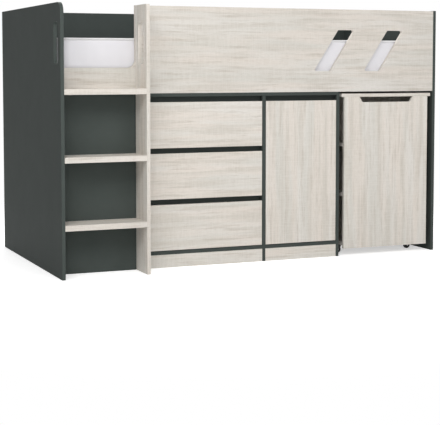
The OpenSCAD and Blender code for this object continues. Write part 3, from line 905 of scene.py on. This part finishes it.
def borderRings(spec):
    # rings downward from the sheet's rim: out, height and material of each
    depth = spec["size"].z
    piping = [(out, -down, tapeKind) for out, down in spec["piping"]]
    tuck = [(out, -down, borderKind) for out, down in spec["tuck"]]
    lastOut, start = spec["tuck"][-1]
    border = []
    for row in range(1, spec["borderRows"]):
        part = row / spec["borderRows"]
        swell = spec["swell"] * math.sin(math.pi * part) + lastOut * abs(1 - 2 * part)
        border.append((swell, -start - (depth - 2 * start) * part, borderKind))
    upper = [(out, -down, quiltKind) for out, down in spec["groove"][1:]] + piping + tuck
    lower = [(out, -depth - height, kind) for out, height, kind in reversed(piping + tuck)]
    lower += [(out, -depth + spec["underside"], borderKind) for out, down in reversed(spec["groove"])]
    # going down, a face takes the material of the ring above it
    kinds = [borderKind] + [kind for out, height, kind in lower]
    lower = [(out, height, kind) for (out, height, old), kind in zip(lower, kinds)]
    return upper + border + lower


def sweepRings(mesh, rings, outline, spec):
    # extrudes the sheet's rim from ring to ring, and gives back the last rim
    rim = [edge for edge in mesh.edges if edge.is_boundary]
    source = {vert: vert for edge in rim for vert in edge.verts}
    base = {vert: vert.co.xy.to_3d() for vert in source}
    way = {vert: outward(vert.co.x, vert.co.y, *outline) for vert in source}
    scaleX, scaleY, scaleZ = spec["puckerScales"]
    for out, height, kind in rings:
        grown = bmesh.ops.extrude_edge_only(mesh, edges=rim)["geom"]
        rim = [item for item in grown if isinstance(item, bmesh.types.BMEdge) and item.is_boundary]
        ring = {}
        for vert in {vert for edge in rim for vert in edge.verts}:
            for edge in vert.link_edges:
                other = edge.other_vert(vert)
                if other in source:
                    ring[vert] = source[other]
        amount = spec["pucker"] * (spec["pipingPucker"] if kind == tapeKind else 1)
        for vert, first in ring.items():
            run = base[first]
            pucker = noise.noise(Vector((run.x * scaleX, run.y * scaleY, height * scaleZ))) * amount
            vert.co = run + way[first] * (out - spec["groove"][0][0] + pucker) + Vector((0, 0, height))
        for face in grown:
            if isinstance(face, bmesh.types.BMFace):
                face.material_index = kind
        source = ring
    return rim


def unrollBorders(mesh, spec):
    layer = mesh.loops.layers.uv["cloth"]
    for face in mesh.faces:
        if face.normal.z < spec["flat"] or face.material_index != quiltKind:
            flat = abs(face.normal.z) > spec["flat"]
            alongY = abs(face.normal.x) > abs(face.normal.y)
            for loop in face.loops:
                x, y, z = loop.vert.co
                loop[layer].uv = (x, y) if flat else (y if alongY else x, z)


def makeMattress(spec):
    low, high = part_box("mattress")
    middle = (low + high) / 2
    spec["size"] = high - low
    # the quilted sheet ends at the groove beside the piping: its half sizes and corner radius
    edgeInset = -spec["groove"][0][0]
    halfX = spec["size"].x / 2 - spec["wall"] - edgeInset
    halfY = spec["size"].y / 2 - spec["wall"] - edgeInset
    outline = (halfX, halfY, spec["corner"] - edgeInset)
    sheet, held = quiltedSheet(spec)
    print("quilting", len(held), "held points")
    mesh = settleSheet(sheet, held, spec)
    shapeTop(mesh, outline, spec)
    rim = sweepRings(mesh, borderRings(spec), outline, spec)
    underside = bmesh.ops.holes_fill(mesh, edges=rim, sides=0)["faces"]
    inset = spec["undersideInset"]
    inner = bmesh.ops.inset_region(mesh, faces=underside, thickness=inset, depth=0, use_even_offset=True)
    for face in underside + inner["faces"]:
        face.material_index = borderKind
    unrollBorders(mesh, spec)
    bmesh.ops.recalc_face_normals(mesh, faces=mesh.faces)
    bmesh.ops.translate(mesh, verts=mesh.verts, vec=(middle.x, middle.y, high.z))
    materials = ["quilt", "border", "tape"]
    piece = finishPiece(mesh, "mattress_quilted", materials, "mattress", ["mattress"], 0)
    return high


def makeTab(spec, corner):
    # the plain black tab sewn under the piping at the right end
    width, height = spec["width"], spec["height"]
    mesh = bmesh.new()
    bmesh.ops.create_grid(mesh, x_segments=spec["cells"], y_segments=spec["cells"], size=0.5)
    layCloth(mesh, lambda co: (co.x * width, co.y * height))
    for vert in mesh.verts:
        across, drop = vert.co.x, 0.5 - vert.co.y
        lift = spec["curl"] * math.sin(math.pi * drop) + spec["sway"] * math.sin(spec["swayTurn"] * across)
        vert.co = (
            corner.x + spec["clear"] + lift,
            spec["across"] + across * width,
            corner.z - spec["drop"] - drop * height,
        )
    bmesh.ops.recalc_face_normals(mesh, faces=mesh.faces)
    bmesh.ops.solidify(mesh, geom=mesh.faces[:], thickness=spec["thick"])
    easeEdges(mesh, spec["ease"], 1, spec["sharp"])
    finishPiece(mesh, "mattress_tab", ["label"], "mattress")


mattressHigh = makeMattress(mattressSpec)
makeTab(mattressSpec["tab"], mattressHigh)
print("mattress ready")


# Screws, caps, nails and rivets, laid on the solids that carry them

left, right, front, rear, down, up = (-1, 0, 0), (1, 0, 0), (0, -1, 0), (0, 1, 0), (0, 0, -1), (0, 0, 1)
headSpec = {
    "cap": {"radius": 0.0090, "height": 0.0012, "sides": 20, "taper": 0.94},
    "smallCap": {"radius": 0.0075, "height": 0.0010, "sides": 18, "taper": 0.94},
    "screw": {"radius": 0.0038, "height": 0.0019},
    "largeScrew": {"radius": 0.0048, "height": 0.0012},
    "nail": {"radius": 0.0028, "height": 0.0005, "sides": 10, "taper": 0.7},
    "rivet": {"radius": 0.0034, "height": 0.0014, "sides": 16, "steps": 4},
}
# shares of a cap's radius, then of its height
capSpec = {"rim": 0.3, "slope": 0.08, "dish": 0.35}
# on a head of radius 1 and height 1
crossSpec = {
    "cells": 5,
    "armWidth": 0.1, "armLength": 0.7,  # the cross's cells have their middles within
    "core": 0.3, "coreScale": 0.7,  # reach of the middle cell
    "rim": 0.9, "ringScale": 0.86,  # reach past which a vertex is on the rim
    "dome": 0.55, "slope": 0.05, "recess": 0.6,
}


def nailShape(mesh, size):
    radius, height, sides = size["radius"], size["height"], size["sides"]
    top = radius * size["taper"]
    bmesh.ops.create_cone(mesh, cap_ends=True, segments=sides, radius1=radius, radius2=top, depth=height)
    bmesh.ops.translate(mesh, verts=mesh.verts, vec=(0, 0, height / 2))


def capShape(mesh, size):
    # a moulded cover with a shallow dish
    nailShape(mesh, size)
    radius, depth = size["radius"], size["height"] * capSpec["dish"]
    top = max(mesh.faces, key=lambda face: face.calc_center_median().z)
    bmesh.ops.inset_region(mesh, faces=[top], thickness=radius * capSpec["rim"], depth=0)
    bmesh.ops.inset_region(mesh, faces=[top], thickness=radius * capSpec["slope"], depth=-depth)


def rivetShape(mesh, size):
    # a low dome, spun from its section
    steps = size["steps"]
    points = [mesh.verts.new((size["radius"], 0, 0))]
    for step in range(1, steps + 1):
        turn = math.pi / 2 * step / steps
        points.append(mesh.verts.new((size["radius"] * math.cos(turn), 0, size["height"] * math.sin(turn))))
    edges = [mesh.edges.new(pair) for pair in zip(points, points[1:])]
    whole = {"cent": (0, 0, 0), "axis": up, "angle": 2 * math.pi, "use_merge": True}
    bmesh.ops.spin(mesh, geom=points + edges, steps=size["sides"], **whole)
    bmesh.ops.remove_doubles(mesh, verts=mesh.verts, dist=edgeSpec["weld"])
    bmesh.ops.recalc_face_normals(mesh, faces=mesh.faces)


def crossShape(mesh, size):
    # a pan head with a cross recess, from a grid of cells drawn into a disc
    spec = crossSpec
    bmesh.ops.create_grid(mesh, x_segments=spec["cells"], y_segments=spec["cells"], size=1)
    cross = []
    for face in mesh.faces:
        middle = face.calc_center_median()
        if min(abs(middle.x), abs(middle.y)) < spec["armWidth"] and middle.length < spec["armLength"]:
            cross.append(face)
    for vert in mesh.verts:
        reach = max(abs(vert.co.x), abs(vert.co.y))
        if reach < spec["core"]:
            vert.co *= spec["coreScale"]
        else:
            vert.co *= reach / vert.co.length * (1 if reach > spec["rim"] else spec["ringScale"])
        vert.co.z = 1 - spec["dome"] * vert.co.length_squared
    rim = [edge for edge in mesh.edges if edge.is_boundary]
    grown = bmesh.ops.extrude_edge_only(mesh, edges=rim)["geom"]
    for item in grown:
        if isinstance(item, bmesh.types.BMVert):
            item.co.z = 0
    bmesh.ops.inset_region(mesh, faces=cross, thickness=spec["slope"], depth=-spec["recess"])
    bmesh.ops.scale(mesh, verts=mesh.verts, vec=(size["radius"], size["radius"], size["height"]))
    bmesh.ops.recalc_face_normals(mesh, faces=mesh.faces)


headShapes = {
    "cap": capShape,
    "smallCap": capShape,
    "screw": crossShape,
    "largeScrew": crossShape,
    "nail": nailShape,
    "rivet": rivetShape,
}


def layHeads(name, body, kind, places, material="zinc"):
    # copies of one head, each at its place and facing its way
    mesh = bmesh.new()
    headShapes[kind](mesh, headSpec[kind])
    single = toMesh(mesh, name + "Single")
    mesh = bmesh.new()
    for place, facing in places:
        first = len(mesh.verts)
        mesh.from_mesh(single)
        mesh.verts.ensure_lookup_table()
        turn = Vector(facing).to_track_quat("Z", "Y").to_matrix().to_4x4()
        bmesh.ops.transform(mesh, matrix=Matrix.Translation(place) @ turn, verts=mesh.verts[first:])
    bpy.data.meshes.remove(single)
    finishPiece(mesh, name, [material], body)


def solidBoxes(node):
    # lowest corner, highest corner and middle of each solid of a node, from left to right
    mesh = copyOf(node)
    boxes = []
    for group in islands(mesh):
        low = Vector([min(vert.co[axis] for vert in group) for axis in range(3)])
        high = Vector([max(vert.co[axis] for vert in group) for axis in range(3)])
        boxes.append((low, high, (low + high) / 2))
    mesh.free()
    return boxes


def middleOf(node):
    low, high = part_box(node)
    return (low + high) / 2


def spread(low, high, inset, count=2):
    # places at equal steps between two ends, each drawn in by an inset
    first, last = low + inset, high - inset
    return [first + (last - first) * step / (count - 1) for step in range(count)]


def spots(xs, ys, zs, facing):
    return [((x, y, z), facing) for x in xs for y in ys for z in zs]


frameHeadSpec = {
    "end": 0.034,  # from the ends of a board
    "treadEdge": 0.035,
    "lowest": 0.819,  # sits under the front batten
    "guard": (0.99, 1.12),
    "stile": (0.96, 1.08, 1.17),
    "rear": {
        "ladder_back_panel": (0.12, 0.4, 0.68),
        "rear_guard_panel": (0.86, 1.0, 1.14),
        "rear_stretcher": (0.48, 0.56),
    },
    # inset and number of each row
    "topRow": (0.06, 3),
    "battenRow": (0.09, 7),
    "nailRow": (0.008, 10),
    "nailColumn": (0.1, 6),
}


def frameHeads(spec):
    end, lowest, inset = spec["end"], spec["lowest"], spec["nailRow"][0]
    pale, dark = [], []
    for node in ("lower_tread", "middle_tread", "upper_tread"):
        low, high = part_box(node)
        pale += spots(spread(low.x, high.x, end), spread(low.y, high.y, spec["treadEdge"]), [low.z], down)
    low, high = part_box("front_guard_panel")
    inner = high.y
    pale += spots([high.x - end], [inner], (lowest, *spec["guard"]), rear)
    pale += spots([low.x + end], [inner], [lowest], rear)
    for node, heights in spec["rear"].items():
        low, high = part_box(node)
        dark += spots(spread(low.x, high.x, end), [high.y], heights, rear)
    low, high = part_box("storage_top")
    sides = [middleOf("storage_" + side).x for side in ("left_side", "partition", "right_side")]
    dark += spots(sides, spread(low.y, high.y, *spec["topRow"]), [high.z], up)
    layHeads("frame_pale_caps", "bed_frame", "cap", pale, "paleCap")
    layHeads("frame_dark_caps", "bed_frame", "cap", dark, "darkCap")

    screws = spots([middleOf("ladder_stile").x], [inner], (lowest, *spec["stile"]), rear)
    for low, high, middle in solidBoxes("slat_battens"):
        face, facing = (high.y, rear) if low.y < 0 else (low.y, front)
        screws += spots(spread(low.x, high.x, *spec["battenRow"]), [face], [middle.z], facing)
    layHeads("frame_screws", "bed_frame", "largeScrew", screws)

    low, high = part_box("storage_back")
    nails = spots(spread(low.x, high.x, *spec["nailRow"]), [high.y], spread(low.z, high.z, inset), rear)
    columns = (low.x + inset, middleOf("storage_partition").x, high.x - inset)
    nails += spots(columns, [high.y], spread(low.z, high.z, *spec["nailColumn"]), rear)
    layHeads("storage_back_nails", "bed_frame", "nail", nails)


runnerHeadSpec = {
    "web": 0.0015,  # thickness of a runner
    # from the front twice, then from the back
    "fixed": (0.035, 0.21, 0.04),
    "moving": (0.05, 0.225, 0.05),
    # on a drawer's sides, from the front, the bottom and the top
    "cap": (0.03, 0.045, 0.03),
}


def webScrews(node, web, distances, toRight):
    # screws on each runner, on the face of its web that toRight tells for the left ones
    found = []
    for low, high, middle in solidBoxes(node):
        ys = (low.y + distances[0], low.y + distances[1], high.y - distances[2])
        onLeft = middle.x < middleOf("lower_drawer_front").x
        x, facing = (low.x + web, right) if onLeft == toRight else (high.x - web, left)
        found += spots([x], ys, [middle.z], facing)
    return found


def runnerHeads(spec):
    fixed = webScrews("cabinet_runners", spec["web"], spec["fixed"], True)
    layHeads("cabinet_runner_screws", "bed_frame", "screw", fixed)
    inset, over, under = spec["cap"]
    for drawer in drawers:
        moving = webScrews(drawer + "_runners", spec["web"], spec["moving"], False)
        caps = []
        for low, high, middle in solidBoxes(drawer + "_sides"):
            x, facing = (high.x, right) if middle.x < middleOf(drawer + "_front").x else (low.x, left)
            caps += spots([x], [low.y + inset], (low.z + over, high.z - under), facing)
        layHeads(drawer + "_screws", drawer, "screw", moving)
        layHeads(drawer + "_caps", drawer, "smallCap", caps, "paleCap")


deskHeadSpec = {
    "shelfCap": 0.04,  # from the edges of the upright
    "topCap": 0.05,  # from the edges of the boards under the top
    "behind": 0.012,  # from the board's rear face
    "plateHalf": 0.0145,  # half the spacing of a castor plate's screws
    "plate": 0.0025,  # its thickness
    "cheekTop": 0.001,  # over the axle
}


def deskHeads(spec):
    low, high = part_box("desk_upright")
    shelves = [middle.z for low, high, middle in solidBoxes("desk_shelves")[1:]]
    caps = spots(spread(low.x, high.x, spec["shelfCap"]), [high.y], shelves, rear)
    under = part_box("desk_top")[0].z
    for node in ("desk_upright", "desk_leg", "desk_front_panel"):
        low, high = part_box(node)
        caps += spots(spread(low.x, high.x, spec["topCap"]), [high.y + spec["behind"]], [under], down)
    layHeads("desk_caps", "desk", "cap", caps, "paleCap")
    half, screws = spec["plateHalf"], []
    for low, high, middle in solidBoxes("castor_plates"):
        xs, ys = ((side - half, side + half) for side in middle.xy)
        screws += spots(xs, ys, [high.z - spec["plate"]], down)
    layHeads("castor_plate_screws", "desk", "screw", screws)
    for corner in corners:
        axle = middleOf(corner + "_castor_wheel")
        # the cheeks are narrower than the crown above them
        mesh = copyOf(corner + "_castor_fork")
        cheeks = [vert.co.y for vert in mesh.verts if vert.co.z < axle.z + spec["cheekTop"]]
        mesh.free()
        rivets = [((axle.x, min(cheeks), axle.z), front), ((axle.x, max(cheeks), axle.z), rear)]
        layHeads(corner + "_castor_rivets", corner + "_castor", "rivet", rivets)


hingeHeadSpec = {
    "plateMost": 0.005,  # solids thinner than this are mounting plates
    "plateEnd": 0.006,
    "arm": (0.033, 0.051),  # from its front end
    "cup": (0.006, 0.050),  # from the lower end of one and the upper end of the other
    "cupSide": 0.0165,
}


def hingeHeads(spec):
    fixed = []
    for low, high, middle in solidBoxes("hinge_arms"):
        ys, zs = [low.y + distance for distance in spec["arm"]], [middle.z]
        if high.x - low.x < spec["plateMost"]:
            ys, zs = [middle.y], spread(low.z, high.z, spec["plateEnd"])
        fixed += spots([high.x], ys, zs, right)
    low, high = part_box("hinge_cups")
    heights = [z for inset in spec["cup"] for z in (low.z + inset, high.z - inset)]
    moving = spots([low.x + spec["cupSide"]], [high.y], heights, rear)
    layHeads("hinge_plate_screws", "bed_frame", "screw", fixed)
    layHeads("hinge_cup_screws", "door", "screw", moving)


strapSpec = {
    "width": 0.022,
    "thick": 0.0011,
    "across": (-0.22, 0.36),  # middles of the two straps
    "end": 0.008,  # from the outer edges of the first and the last slat
    "wire": 0.0009,
    "staple": 0.011,  # its width
    "proud": 0.3,  # of its middle from the strap, against its wire
}


def addBox(mesh, centre, size):
    made = bmesh.ops.create_cube(mesh, size=1)
    bmesh.ops.scale(mesh, verts=made["verts"], vec=size)
    bmesh.ops.translate(mesh, verts=made["verts"], vec=centre)


def slatStraps(spec):
    # two webbing straps under the slats, each stapled to every slat
    slats = solidBoxes("bed_slats")
    under = slats[0][0].z
    first, last = slats[0][0].x + spec["end"], slats[-1][1].x - spec["end"]
    thick, wire = spec["thick"], spec["wire"]
    level = under - thick - wire * spec["proud"]
    straps, staples = bmesh.new(), bmesh.new()
    for y in spec["across"]:
        addBox(straps, ((first + last) / 2, y, under - thick / 2), (last - first, spec["width"], thick))
        for low, high, middle in slats:
            addBox(staples, (middle.x, y, level), (wire, spec["staple"], wire))
    layCloth(straps, lambda co: (co.x, co.y + co.z))
    finishPiece(straps, "slat_straps", ["strap"], "bed_frame")
    finishPiece(staples, "slat_staples", ["zinc"], "bed_frame")


frameHeads(frameHeadSpec)
runnerHeads(runnerHeadSpec)
deskHeads(deskHeadSpec)
hingeHeads(hingeHeadSpec)
slatStraps(strapSpec)
print("screws, caps, nails and straps ready")
